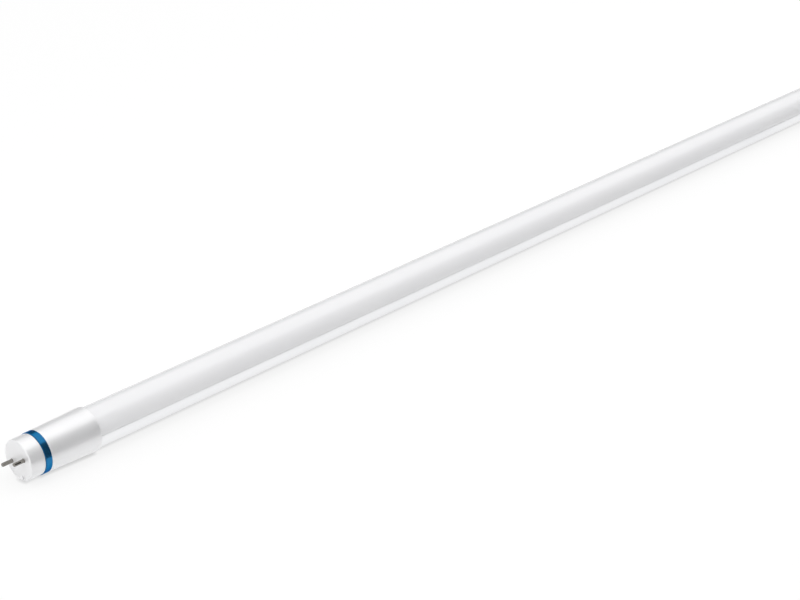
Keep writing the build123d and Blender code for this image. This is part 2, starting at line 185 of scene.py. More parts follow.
# The stage: the paper's tone as light falls on it and as the eye sees it under its lift, rays for the painted
# shade on it, how far the flags stand off the floor, and the camera's sensor in mm
PAPER_TONE = "#F0F0F0"
PAPER_UNDER_LIFT = "#444444"
PAINTED_SHADE_RAYS = 8
FLAG_GAP = 0.5 * MM
SENSOR_WIDTH = 36


def linear(code):
    """A #RRGGBB colour as linear red, green and blue."""
    shares = [int(code[place:place + 2], 16) / 255 for place in (1, 3, 5)]
    return [share / 12.92 if share <= 0.04045 else ((share + 0.055) / 1.055) ** 2.4 for share in shares]


def add_node(tree, kind, settings=None, **inputs):
    """Add a node, set its options, and give its sockets values or links."""
    node = tree.nodes.new(kind)
    for name, value in (settings or {}).items():
        setattr(node, name, value)
    for name, value in inputs.items():
        plain = name.replace("_", " ").strip()
        socket = node.inputs[int(plain)] if plain.isdigit() else node.inputs[plain]
        for given in value if isinstance(value, list) else [value]:
            if isinstance(given, bpy.types.NodeSocket):
                tree.links.new(given, socket)
            else:
                socket.default_value = given
    return node


def surface(name, pale, deep, roughness, cloud, grain, relief, stretch=(1, 1, 1), **sockets):
    """A finish with a slow drift in its colour and roughness, and a fine grain that sets its relief."""
    material = bpy.data.materials.new(name)
    material.use_nodes = True
    tree = material.node_tree
    tree.nodes.clear()
    where = add_node(tree, "ShaderNodeTexCoord").outputs["Object"]
    drift = add_node(tree, "ShaderNodeTexNoise", Vector=where, Scale=1 / cloud, Detail=DRIFT_DETAIL)
    drawn = add_node(tree, "ShaderNodeMapping", Vector=where, Scale=stretch)
    fine = add_node(tree, "ShaderNodeTexNoise", Vector=drawn.outputs[0], Scale=1 / grain, Detail=GRAIN_DETAIL)
    colour = add_node(
        tree, "ShaderNodeMix", {"data_type": "RGBA"}, _0=drift.outputs[0], _6=(*pale, 1), _7=(*deep, 1)
    )
    gloss = add_node(
        tree, "ShaderNodeMapRange", Value=drift.outputs[0], To_Min=roughness[0], To_Max=roughness[1]
    )
    bump = add_node(tree, "ShaderNodeBump", Height=fine.outputs[0], Distance=relief)
    shader = add_node(
        tree,
        "ShaderNodeBsdfPrincipled",
        Base_Color=colour.outputs[2],
        Roughness=gloss.outputs[0],
        Normal=bump.outputs[0],
        **sockets,
    )
    add_node(tree, "ShaderNodeOutputMaterial", Surface=shader.outputs[0])
    return material


def finish(slot):
    """The finish of one of the record's slots, made when it is first asked for."""
    colours = bpy.context.scene.lamp_colours
    name = f"{slot}_finish"
    made = bpy.data.materials.get(name)
    if made:
        return made
    # Extruded opal polycarbonate: an even milky white with a soft sheen and faint lengthwise die lines
    if slot == "opal_polycarbonate":
        return surface(
            name, colours.opal, colours.opal_shade, (0.2, 0.26), 60 * MM, 1.2 * MM, 0.004 * MM,
            stretch=DRAWN_STRETCH, IOR=POLYCARBONATE_IOR,
        )
    # Satin anodised aluminium: a pale metal drawn along its length, with lines coarser than real so they show
    if slot == "anodised_aluminium":
        return surface(
            name, colours.aluminium, colours.aluminium_shade, (0.34, 0.46), 80 * MM, 0.8 * MM, 0.006 * MM,
            stretch=DRAWN_STRETCH, Metallic=1.0,
        )
    # Pearl white moulding: fine mica in the white plastic gives it a soft silver sheen
    if slot == "white_moulding":
        return surface(
            name, colours.moulding, colours.moulding_shade, (0.38, 0.42), 20 * MM, 1.5 * MM, 0.003 * MM,
            Metallic=0.4, IOR=POLYCARBONATE_IOR,
        )
    # Metal-coated blue band: a deep blue mirror, bright under the white above and nearly black at the horizon
    if slot == "blue_moulding":
        return surface(
            name, colours.ring, colours.ring_shade, (0.18, 0.26), 12 * MM, 1.0 * MM, 0.002 * MM, Metallic=0.9,
            Specular_Tint=(*colours.ring_edge, 1),
        )
    # Nickel-plated brass pins: a warm grey mirror with fine marks along the pin
    if slot == "plated_pin":
        return surface(
            name, colours.nickel, colours.nickel_shade, (0.08, 0.14), 4 * MM, 0.4 * MM, 0.003 * MM,
            stretch=(0.1, 1, 1), Metallic=1.0,
        )
    pale, deep, roughness, cloud, grain, relief, metallic = INNER_FINISHES[slot]
    return surface(
        name, linear(pale), linear(deep), roughness, cloud * MM, grain * MM, relief * MM, Metallic=metallic
    )


# Finishes inside the tube: two colours, the roughness, cloud and grain in mm, relief in mm and metalness
INNER_FINISHES = {
    # Zinc-plated steel: a bright grey with a slight mottle
    "screw_steel": ("#CDD0D2", "#B4B8BC", (0.28, 0.4), 2, 0.3, 0.004, 1.0),
    # White solder mask over a metal-backed board: a smooth matt white
    "white_board": ("#F1F1ED", "#E9E9E4", (0.35, 0.5), 15, 0.5, 0.004, 0.0),
    # White moulded LED frame: a dense matt white
    "led_frame": ("#F4F4F2", "#ECECE8", (0.4, 0.5), 2, 0.2, 0.002, 0.0),
    # Phosphor gel: a soft yellow with a waxy sheen
    "led_phosphor": ("#F1D65A", "#E6C23E", (0.3, 0.42), 1, 0.2, 0.004, 0.0),
    # Green solder mask over woven glass board: a dark green that shows its weave
    "green_board": ("#1F6E3F", "#175832", (0.28, 0.4), 6, 0.6, 0.01, 0.0),
    # Moulded epoxy of chips and bridges: a dull charcoal
    "black_component": ("#2C2C2E", "#232325", (0.5, 0.65), 2, 0.2, 0.006, 0.0),
    # Sintered ferrite: a dark grey stone with a fine speckle
    "ferrite": ("#46474A", "#37383B", (0.55, 0.75), 2, 0.25, 0.012, 0.0),
    # Enamelled copper wire: a warm orange metal under clear varnish
    "copper_winding": ("#C9793F", "#A65C2B", (0.28, 0.36), 1.5, 0.4, 0.02, 1.0),
    # Shrink sleeve on a can: a glossy blue-black film
    "can_sleeve": ("#2B3040", "#202433", (0.2, 0.26), 8, 1.0, 0.004, 0.0),
    # Moulded capacitor box: a glossy ochre plastic
    "film_box": ("#DDB94A", "#CFA838", (0.28, 0.38), 5, 0.6, 0.005, 0.0),
    # Dipped epoxy coat: a blue skin, slightly uneven
    "varistor_coat": ("#4F7FB4", "#3F6CA0", (0.35, 0.5), 2, 0.9, 0.03, 0.0),
    # Lacquered ceramic: a dull grey green
    "fuse_body": ("#8FA79A", "#7E978A", (0.4, 0.55), 3, 0.4, 0.008, 0.0),
    # Polyester film: a hazy white sheet
    "insulating_film": ("#EFEFEC", "#E6E6E2", (0.3, 0.45), 25, 2.0, 0.004, 0.0),
    # Silicone insulation: a soft off-white with little shine
    "wire_insulation": ("#EAEAE6", "#E0E0DB", (0.5, 0.62), 6, 0.5, 0.005, 0.0),
    # Moulded nylon connector: an ivory plastic with a fine matt texture
    "link_housing": ("#EFECE2", "#E6E2D5", (0.45, 0.6), 4, 0.3, 0.006, 0.0),
}


def new_tree(name, sockets):
    """A geometry tree with named inputs; gives the tree and its input sockets."""
    tree = bpy.data.node_groups.new(name, "GeometryNodeTree")
    tree.interface.new_socket("Geometry", in_out="OUTPUT", socket_type="NodeSocketGeometry")
    for label, kind in {"Geometry": "NodeSocketGeometry", **sockets}.items():
        tree.interface.new_socket(label, in_out="INPUT", socket_type=kind)
    return tree, add_node(tree, "NodeGroupInput").outputs


def extrusion_tree():
    """A tree that fills an outline drawn in its own plane and draws it out along X."""
    tree, given = new_tree(
        "Extrusion", {"Start": "NodeSocketFloat", "Length": "NodeSocketFloat", "Finish": "NodeSocketMaterial"}
    )
    outline = add_node(tree, "GeometryNodeMeshToCurve", Mesh=given["Geometry"])
    filled = add_node(tree, "GeometryNodeFillCurve", Curve=outline.outputs[0])
    start = add_node(tree, "ShaderNodeCombineXYZ", X=given["Start"])
    turned = add_node(
        tree,
        "GeometryNodeTransform",
        Geometry=filled.outputs[0],
        Translation=start.outputs[0],
        Rotation=(pi / 2, 0, pi / 2),
    )
    reach = add_node(tree, "ShaderNodeCombineXYZ", X=given["Length"])
    drawn = add_node(
        tree,
        "GeometryNodeExtrudeMesh",
        {"mode": "FACES"},
        Mesh=turned.outputs[0],
        Offset=reach.outputs[0],
        Individual=False,
    )
    back = add_node(tree, "GeometryNodeFlipFaces", Mesh=turned.outputs[0])
    whole = add_node(tree, "GeometryNodeJoinGeometry", Geometry=[drawn.outputs[0], back.outputs[0]])
    closed = add_node(tree, "GeometryNodeMergeByDistance", Geometry=whole.outputs[0], Distance=TINY)
    real = add_node(tree, "GeometryNodeRealizeInstances", Geometry=closed.outputs[0])
    done = add_node(tree, "GeometryNodeSetMaterial", Geometry=real.outputs[0], Material=given["Finish"])
    add_node(tree, "NodeGroupOutput", Geometry=done.outputs[0])
    return tree


def led_row_tree():
    """A tree that repeats one LED package along a line and finishes its frame and its window."""
    tree, given = new_tree(
        "LED row",
        {
            "Count": "NodeSocketInt",
            "First": "NodeSocketVector",
            "Step": "NodeSocketVector",
            "Frame": "NodeSocketMaterial",
            "Window": "NodeSocketMaterial",
        },
    )
    places = add_node(
        tree,
        "GeometryNodeMeshLine",
        Count=given["Count"],
        Start_Location=given["First"],
        Offset=given["Step"],
    )
    row = add_node(tree, "GeometryNodeInstanceOnPoints", Points=places.outputs[0], Instance=given["Geometry"])
    real = add_node(tree, "GeometryNodeRealizeInstances", Geometry=row.outputs[0])
    framed = add_node(tree, "GeometryNodeSetMaterial", Geometry=real.outputs[0], Material=given["Frame"])
    window = add_node(tree, "GeometryNodeInputNamedAttribute", {"data_type": "BOOLEAN"}, Name="window")
    done = add_node(
        tree,
        "GeometryNodeSetMaterial",
        Geometry=framed.outputs[0],
        Selection=window.outputs[0],
        Material=given["Window"],
    )
    add_node(tree, "NodeGroupOutput", Geometry=done.outputs[0])
    return tree


def place(name, shape):
    """Turn a bmesh into an object of the scene."""
    mesh = bpy.data.meshes.new(name)
    shape.to_mesh(mesh)
    shape.free()
    obj = bpy.data.objects.new(name, mesh)
    bpy.context.scene.collection.objects.link(obj)
    return obj


def bake(obj):
    """Keep an object's modified shape as its own plain mesh."""
    evaluated = obj.evaluated_get(bpy.context.evaluated_depsgraph_get())
    spare = obj.data
    result = bpy.data.meshes.new_from_object(evaluated)
    obj.modifiers.clear()
    obj.data = result
    bpy.data.meshes.remove(spare)


def grow(obj, tree, values):
    """Run a geometry tree on an object and keep what it gives."""
    modifier = obj.modifiers.new(tree.name, "NODES")
    modifier.node_group = tree
    sockets = {item.name: item.identifier for item in tree.interface.items_tree if item.in_out == "INPUT"}
    for label, value in values.items():
        modifier[sockets[label]] = value
    bake(obj)


def carve(obj, operation, *shapes):
    """Join shapes to an object or cut them out of it, one after the other."""
    for shape in shapes:
        tool = place("tool", shape)
        modifier = obj.modifiers.new("carve", "BOOLEAN")
        modifier.solver = "EXACT"
        modifier.operation = operation
        modifier.object = tool
        bake(obj)
        spare = tool.data
        bpy.data.objects.remove(tool)
        bpy.data.meshes.remove(spare)


def settle(obj, slot, body, node):
    """Give a finished piece its shading and finish, and put it in its node's place in the frame."""
    if not obj.data.materials:
        obj.data.materials.append(finish(slot))
    obj.data.shade_smooth()
    obj.data.set_sharp_from_angle(angle=SHARP_ANGLE)
    level = obj.modifiers.new("level", "WEIGHTED_NORMAL")
    level.keep_sharp = True
    bake(obj)
    low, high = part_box(node)
    corners = [Vector(corner) for corner in obj.bound_box]
    for axis in range(3):
        reach = [corner[axis] for corner in corners]
        if min(reach) < low[axis] - PLACE_MARGIN or max(reach) > high[axis] + PLACE_MARGIN:
            raise RuntimeError(f"{obj.name} leaves the place of {node}")
    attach(obj, body)
    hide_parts(node)


def arc(radius, start, end, steps, centre=(0.0, 0.0)):
    """Points on an arc, both ends included."""
    angles = [start + (end - start) * step / steps for step in range(steps + 1)]
    return [(centre[0] + radius * cos(angle), centre[1] + radius * sin(angle)) for angle in angles]


def rounded(points, rounds, steps=CORNER_STEPS):
    """A closed outline in which the corners at the given places are rounded to the given radii."""
    result = []
    for index, corner in enumerate(points):
        if index not in rounds:
            result.append(corner)
            continue
        here = Vector(corner)
        before = (Vector(points[index - 1]) - here).normalized()
        after = (Vector(points[(index + 1) % len(points)]) - here).normalized()
        half = before.angle(after) / 2
        middle = here + (before + after).normalized() * rounds[index] / sin(half)
        reach = rounds[index] / tan(half)
        first = here + before * reach - middle
        last = here + after * reach - middle
        start = atan2(first.y, first.x)
        sweep = (atan2(last.y, last.x) - start + pi) % (2 * pi) - pi
        result += arc(rounds[index], start, start + sweep, steps, middle)
    return result


def circle(centre, radius, steps):
    """Points round a circle."""
    return arc(radius, 0, 2 * pi, steps, centre)[:-1]


def sector(inner, outer, middle, size, steps):
    """Points round a piece of a flat ring."""
    start, end = middle - size / 2, middle + size / 2
    return arc(outer, start, end, steps) + arc(inner, end, start, steps)


def bar(length, width, way, orbit=0.0):
    """Corners of a rectangle that points one way from the axis."""
    along = Vector((cos(way), sin(way)))
    side = Vector((-sin(way), cos(way))) * width / 2
    low, high = along * (orbit - length / 2), along * (orbit + length / 2)
    return [tuple(low - side), tuple(high - side), tuple(high + side), tuple(low + side)]


def end_x(side, depth):
    """X of a place at a depth from one end's face."""
    return side * (FACE_X - depth)


def lathe(side, outline, steps, centre=(0.0, 0.0)):
    """A shape turned round a line along X from points of depth and radius."""
    turned = bmesh.new()
    rings = []
    for depth, radius in outline:
        round_points = circle(centre, radius, steps) if radius > 0 else [centre]
        rings.append([turned.verts.new((end_x(side, depth), y, z)) for y, z in round_points])
    for ring, following in zip(rings, rings[1:] + rings[:1]):
        for step in range(steps if len(ring) + len(following) > 2 else 0):
            places = ((ring, step), (ring, step + 1), (following, step + 1), (following, step))
            corners = [loop[index % len(loop)] for loop, index in places]
            turned.faces.new(list(dict.fromkeys(corners)))
    bmesh.ops.recalc_face_normals(turned, faces=turned.faces)
    return turned


def prism(side, outline, start, end):
    """A straight solid between two depths of one end."""
    solid = bmesh.new()
    near = [solid.verts.new((end_x(side, start), y, z)) for y, z in outline]
    far = [solid.verts.new((end_x(side, end), y, z)) for y, z in outline]
    solid.faces.new(near)
    solid.faces.new(far)
    for index in range(len(outline)):
        solid.faces.new((near[index - 1], near[index], far[index], far[index - 1]))
    bmesh.ops.recalc_face_normals(solid, faces=solid.faces)
    return solid


def mirrored(half):
    """A closed outline from its right half, which runs from the middle line to the middle line."""
    return half + [(-y, z) for y, z in reversed(half) if abs(y) > TINY]


def drawn_piece(name, outlines, slot):
    """A long piece with the same outline all along the tube."""
    shape = bmesh.new()
    for outline in outlines:
        points = [shape.verts.new((y, z, 0)) for y, z in outline]
        for index in range(len(points)):
            shape.edges.new((points[index - 1], points[index]))
    obj = place(name, shape)
    tree = bpy.data.node_groups.get("Extrusion") or extrusion_tree()
    grow(obj, tree, {"Start": -TUBE_X, "Length": 2 * TUBE_X, "Finish": finish(slot)})
    return obj


class TubeSizes(bpy.types.PropertyGroup):
    """Sizes of the two long extrusions and the LED rows."""

    arc_steps: IntProperty(
        name="Arc steps", description="Steps in a quarter turn of the shell", default=48, min=8
    )
    seam_round: FloatProperty(
        name="Seam round",
        description="Edge round where the two halves meet",
        default=0.15 * MM,
        unit="LENGTH",
    )
    led_pitch: FloatProperty(
        name="LED pitch", description="Distance between two packages", default=11.7 * MM, unit="LENGTH"
    )
    led_count: IntProperty(name="LED count", description="Packages on one board", default=48, min=1)
    window_margin: FloatProperty(
        name="Window margin", description="Frame round a package's window", default=0.4 * MM, unit="LENGTH"
    )
    window_depth: FloatProperty(
        name="Window depth",
        description="How far the window lies below its frame",
        default=0.12 * MM,
        unit="LENGTH",
    )


class EndSizes(bpy.types.PropertyGroup):
    """Rounds and steps of the turned end pieces."""

    turn_steps: IntProperty(name="Turn steps", description="Steps round a cap or collar", default=160, min=24)
    pin_steps: IntProperty(name="Pin steps", description="Steps round a pin", default=48, min=12)
    cap_round: FloatProperty(
        name="Cap round", description="Edge round of the cap's face", default=1.0 * MM, unit="LENGTH"
    )
    skirt_round: FloatProperty(
        name="Skirt round", description="Edge round of the cap's skirt", default=0.2 * MM, unit="LENGTH"
    )
    ring_round: FloatProperty(
        name="Ring round", description="Edge round of the ring", default=0.18 * MM, unit="LENGTH"
    )
    collar_round: FloatProperty(
        name="Collar round", description="Edge round of the collar's rear", default=0.4 * MM, unit="LENGTH"
    )
    pin_round: FloatProperty(
        name="Pin round", description="Round of a pin's tip", default=0.7 * MM, unit="LENGTH"
    )


class LampColours(bpy.types.PropertyGroup):
    """Colours of the finishes that show from outside."""

    opal: FloatVectorProperty(
        name="Opal", description="Diffuser", subtype="COLOR", default=linear("#F0F0F1"), min=0, max=1
    )
    opal_shade: FloatVectorProperty(
        name="Opal shade",
        description="Diffuser, denser",
        subtype="COLOR",
        default=linear("#ECECEE"),
        min=0,
        max=1,
    )
    aluminium: FloatVectorProperty(
        name="Aluminium", description="Heat sink", subtype="COLOR", default=linear("#FAFAFB"), min=0, max=1
    )
    aluminium_shade: FloatVectorProperty(
        name="Aluminium shade",
        description="Heat sink, duller",
        subtype="COLOR",
        default=linear("#F4F5F7"),
        min=0,
        max=1,
    )
    moulding: FloatVectorProperty(
        name="Moulding",
        description="Caps and collars",
        subtype="COLOR",
        default=linear("#F5F5F6"),
        min=0,
        max=1,
    )
    moulding_shade: FloatVectorProperty(
        name="Moulding shade",
        description="Caps and collars, denser",
        subtype="COLOR",
        default=linear("#F2F2F3"),
        min=0,
        max=1,
    )
    ring: FloatVectorProperty(
        name="Ring", description="Coloured ring", subtype="COLOR", default=linear("#2E7CB0"), min=0, max=1
    )
    ring_shade: FloatVectorProperty(
        name="Ring shade",
        description="Coloured ring, deeper",
        subtype="COLOR",
        default=linear("#2A74A8"),
        min=0,
        max=1,
    )
    ring_edge: FloatVectorProperty(
        name="Ring edge",
        description="Coloured ring, seen edge on",
        subtype="COLOR",
        default=linear("#4A9CC8"),
        min=0,
        max=1,
    )
    nickel: FloatVectorProperty(
        name="Nickel", description="Pins", subtype="COLOR", default=linear("#94918C"), min=0, max=1
    )
    nickel_shade: FloatVectorProperty(
        name="Nickel shade",
        description="Pins, duller",
        subtype="COLOR",
        default=linear("#84817C"),
        min=0,
        max=1,
    )


class StageSettings(bpy.types.PropertyGroup):
    """The camera, the floor and the studio light."""

    camera_place: FloatVectorProperty(
        name="Camera place",
        description="Where the camera stands",
        default=(-1.1133, -0.7889, 0.5506),
        unit="LENGTH",
    )
    camera_yaw: FloatProperty(
        name="Camera yaw", description="Way that the camera looks, from +X", default=0.760837, unit="ROTATION"
    )
    camera_pitch: FloatProperty(
        name="Camera pitch", description="How far the camera looks down", default=0.455658, unit="ROTATION"
    )
    lens: FloatProperty(name="Lens", description="Focal length in mm", default=84.3)
    softbox_size: FloatVectorProperty(
        name="Softbox size",
        description="Length and width of the softbox",
        size=2,
        default=(4.6, 1.1),
        unit="LENGTH",
    )
    softbox_place: FloatVectorProperty(
        name="Softbox place", description="Where the softbox hangs", default=(0.35, 0.26, 1.0), unit="LENGTH"
    )
    softbox_radiance: FloatProperty(
        name="Softbox radiance", description="Brightness of the softbox", default=0.87
    )
    key_size: FloatVectorProperty(
        name="Key size",
        description="Length and width of the key lamp",
        size=2,
        default=(5.0, 1.0),
        unit="LENGTH",
    )
    key_place: FloatVectorProperty(
        name="Key place", description="Where the key lamp hangs", default=(0.3, -0.4, 1.48), unit="LENGTH"
    )
    key_radiance: FloatProperty(name="Key radiance", description="Brightness of the key lamp", default=2.2)
    end_size: FloatProperty(
        name="End fill size", description="Side of the end fill", default=1.2, unit="LENGTH"
    )
    end_place: FloatVectorProperty(
        name="End fill place",
        description="Where the end fill stands",
        default=(-2.6, -0.4, 0.9),
        unit="LENGTH",
    )
    end_radiance: FloatProperty(
        name="End fill radiance", description="Brightness of the end fill", default=1.55
    )
    sky: FloatProperty(name="Sky", description="Soft light from all round", default=0.02)
    floor_size: FloatProperty(name="Floor size", description="Side of the floor", default=30.0, unit="LENGTH")
    floor_lift: FloatProperty(
        name="Floor lift", description="White added to the floor as the camera sees it", default=0.95
    )
    # Painted bounce light: the floor glows this much for rays from matt surfaces, lighting the lamp from below
    floor_painted_bounce: FloatProperty(
        name="Floor bounce", description="White that the floor gives back as light on the lamp", default=0.2
    )
    # Painted shade: ambient occlusion cuts the floor's glow round the lamp and in the gap under it, standing
    # in for its contact shadow
    painted_round_reach: FloatProperty(
        name="Round reach",
        description="How far the lamp shades the floor round it",
        default=40 * MM,
        unit="LENGTH",
    )
    painted_round_shade: FloatProperty(
        name="Round shade", description="Share of the white lost to that shade", default=0.13
    )
    painted_gap_reach: FloatProperty(
        name="Gap reach",
        description="Height of the gap under the tube that is darker still",
        default=2.2 * MM,
        unit="LENGTH",
    )
    painted_gap_shade: FloatProperty(name="Gap shade", description="Share of the white lost in the gap", default=0.4)
    flag_distance: FloatProperty(
        name="Flag distance", description="From the lamp to a flag", default=1.5, unit="LENGTH"
    )
    flag_length: FloatProperty(name="Flag length", description="Length of a flag", default=9.0, unit="LENGTH")
    flag_foot: FloatProperty(
        name="Flag foot",
        description="From the lamp's axis to the foot of the leaning front flag",
        default=0.06,
        unit="LENGTH",
    )
    front_flag: FloatProperty(
        name="Front flag", description="Height of the front flag", default=3.2, unit="LENGTH"
    )
    front_glow: FloatProperty(
        name="Front glow", description="Brightness of the front flag in gloss", default=0.1
    )
    rear_flag: FloatProperty(
        name="Rear flag", description="Height of the rear flag", default=1.2, unit="LENGTH"
    )
    rear_glow: FloatProperty(
        name="Rear glow", description="Brightness of the rear flag in gloss", default=0.2
    )


class LAMP_OT_diffuser(bpy.types.Operator):
    """Draw the opal half shell with its hooked legs"""

    bl_idname = "lamp.diffuser"
    bl_label = "Diffuser"

    def execute(self, context):
        sizes = context.scene.tube_sizes
        root = asin(LEG_ROOT_TOP / SHELL_INNER)
        half = [
            *arc(TUBE_RADIUS, pi / 2, 0, sizes.arc_steps),
            (LEG_OUTER, 0),
            (LEG_OUTER, BARB_TOP),
            (BARB_SIDE, BARB_TOP),
            (BARB_SIDE, LEG_BOTTOM),
            (LEG_INNER, LEG_BOTTOM),
            (LEG_INNER, LEG_ROOT_TOP),
            *arc(SHELL_INNER, root, pi / 2, sizes.arc_steps),
        ]
        half = rounded(half, {sizes.arc_steps: sizes.seam_round})
        obj = drawn_piece("diffuser_shell", [mirrored(half)], "opal_polycarbonate")
        settle(obj, "opal_polycarbonate", "tube", "diffuser")
        return {"FINISHED"}


class LAMP_OT_heat_sink(bpy.types.Operator):
    """Draw the aluminium half with its deck, rails, grooves and screw channels"""

    bl_idname = "lamp.heat_sink"
    bl_label = "Heat sink"

    def execute(self, context):
        sizes = context.scene.tube_sizes
        steps = sizes.arc_steps
        wall_top = sqrt(SHELL_INNER ** 2 - UNDERCUT_TOP ** 2)
        outer = [
            *arc(TUBE_RADIUS, -pi / 2, 0, steps),
            (SHELL_INNER, 0),
            (wall_top, UNDERCUT_TOP),
            (UNDERCUT_SIDE, UNDERCUT_TOP),
            (UNDERCUT_SIDE, FOOT_TOP),
            (FLANK_OUTER, FOOT_TOP),
            (FLANK_OUTER, DECK_TOP),
            (RAIL_OUTER, DECK_TOP),
            (RAIL_OUTER, RAIL_TOP),
            (RAIL_LIP, RAIL_TOP),
            (RAIL_LIP, RAIL_LIP_UNDER),
            (RAIL_INNER, RAIL_LIP_UNDER),
            (RAIL_INNER, DECK_TOP),
        ]
        outer = rounded(outer, {steps: sizes.seam_round})
        way = Vector((cos(CHANNEL_ANGLE), sin(CHANNEL_ANGLE)))
        middle = way * CHANNEL_ORBIT
        neck = asin(CHANNEL_NECK / SHELL_INNER)
        root = asin(CHANNEL_NECK / CHANNEL_OUTER)
        lip = pi - asin(CHANNEL_SLOT / CHANNEL_OUTER)
        mouth = pi - asin(CHANNEL_SLOT / CHANNEL_BORE)
        turn = CHANNEL_ANGLE
        inner = [
            (FLANK_INNER, DECK_BOTTOM),
            (FLANK_INNER, FOOT_BOTTOM),
            *arc(SHELL_INNER, asin(FOOT_BOTTOM / SHELL_INNER), turn + neck, steps // 4),
            *arc(CHANNEL_OUTER, turn + root, turn + lip, steps // 4, middle),
            *arc(CHANNEL_BORE, turn + mouth, turn - mouth, steps // 2, middle),
            *arc(CHANNEL_OUTER, turn - lip, turn - root, steps // 4, middle),
            *arc(SHELL_INNER, turn - neck, -pi / 2, steps // 2),
        ]
        obj = drawn_piece("heat_sink_extrusion", [mirrored(outer), mirrored(inner)], "anodised_aluminium")
        settle(obj, "anodised_aluminium", "tube", "heat_sink")
        return {"FINISHED"}


class LAMP_OT_led_rows(bpy.types.Operator):
    """Set a row of LED packages, each a white frame round a yellow window, on both boards"""

    bl_idname = "lamp.led_rows"
    bl_label = "LED rows"

    def execute(self, context):
        sizes = context.scene.tube_sizes
        tree = led_row_tree()
        for end, _ in ENDS:
            node = f"{end}_led_packages"
            low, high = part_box(node)
            length = high.x - low.x - (sizes.led_count - 1) * sizes.led_pitch
            shape = bmesh.new()
            bmesh.ops.create_cube(shape, size=1.0)
            bmesh.ops.scale(shape, vec=(length, high.y - low.y, high.z - low.z), verts=shape.verts)
            bmesh.ops.translate(shape, vec=(0, 0, (high.z + low.z) / 2), verts=shape.verts)
            window = shape.faces.layers.bool.new("window")
            top = max(shape.faces, key=lambda face: face.calc_center_median().z)
            bmesh.ops.inset_region(shape, faces=[top], thickness=sizes.window_margin)
            bmesh.ops.inset_region(
                shape, faces=[top], thickness=sizes.window_depth, depth=-sizes.window_depth
            )
            top[window] = True
            obj = place(f"{end}_led_row", shape)
            values = {
                "Count": sizes.led_count,
                "First": (low.x + length / 2, (low.y + high.y) / 2, 0),
                "Step": (sizes.led_pitch, 0, 0),
                "Frame": finish("led_frame"),
                "Window": finish("led_phosphor"),
            }
            grow(obj, tree, values)
            settle(obj, "led_phosphor", "tube", node)
        return {"FINISHED"}


class LAMP_OT_collars(bpy.types.Operator):
    """Turn the two tapered collars with their bulkheads, bosses and stops"""

    bl_idname = "lamp.collars"
    bl_label = "Collars"

    def execute(self, context):
        sizes = context.scene.end_sizes
        boss_places = [
            (hand * CHANNEL_ORBIT * cos(CHANNEL_ANGLE), CHANNEL_ORBIT * sin(CHANNEL_ANGLE))
            for hand in (-1, 1)
        ]
        outline = [
            (RING_START, COLLAR_BORE),
            (RING_START, SPIGOT_RADIUS),
            (RING_END, SPIGOT_RADIUS),
            (RING_END, COLLAR_FRONT),
            (COLLAR_END, COLLAR_REAR),
            (COLLAR_END, SOCKET_RADIUS),
            (SOCKET_START, SOCKET_RADIUS),
            (SOCKET_START, COLLAR_BORE),
            (BULKHEAD_END, COLLAR_BORE),
            (BULKHEAD_END, HUB_HOLE),
            (BULKHEAD_START, HUB_HOLE),
            (BULKHEAD_START, COLLAR_BORE),
        ]
        outline = rounded(outline, {3: sizes.ring_round, 4: sizes.collar_round, 5: sizes.ring_round})
        for end, side in ENDS:
            obj = place(f"{end}_collar_sleeve", lathe(side, outline, sizes.turn_steps))
            stop = sector(STOP_INNER, STOP_OUTER, -pi / 2, STOP_ANGLE, sizes.pin_steps)
            carve(obj, "UNION", prism(side, stop, STOP_START, BULKHEAD_START + JOIN_OVERLAP))
            for boss in boss_places:
                rim = circle(boss, BOSS_RADIUS, sizes.pin_steps)
                carve(obj, "UNION", prism(side, rim, BULKHEAD_END - JOIN_OVERLAP, SOCKET_START))
                hole = circle(boss, SCREW_HOLE, sizes.pin_steps)
                bored = prism(side, hole, BULKHEAD_START - JOIN_OVERLAP, SOCKET_START + JOIN_OVERLAP)
                carve(obj, "DIFFERENCE", bored)
            settle(obj, "white_moulding", "tube", f"{end}_collar")
        return {"FINISHED"}


class LAMP_OT_rings(bpy.types.Operator):
    """Turn the two coloured rings"""

    bl_idname = "lamp.rings"
    bl_label = "Rings"

    def execute(self, context):
        sizes = context.scene.end_sizes
        outline = [
            (RING_START, RING_BORE),
            (RING_START, RING_RADIUS),
            (RING_END, RING_RADIUS),
            (RING_END, RING_BORE),
        ]
        outline = rounded(outline, {1: sizes.ring_round, 2: sizes.ring_round})
        for end, side in ENDS:
            obj = place(f"{end}_ring_band", lathe(side, outline, sizes.turn_steps))
            settle(obj, "blue_moulding", "tube", f"{end}_ring")
        return {"FINISHED"}


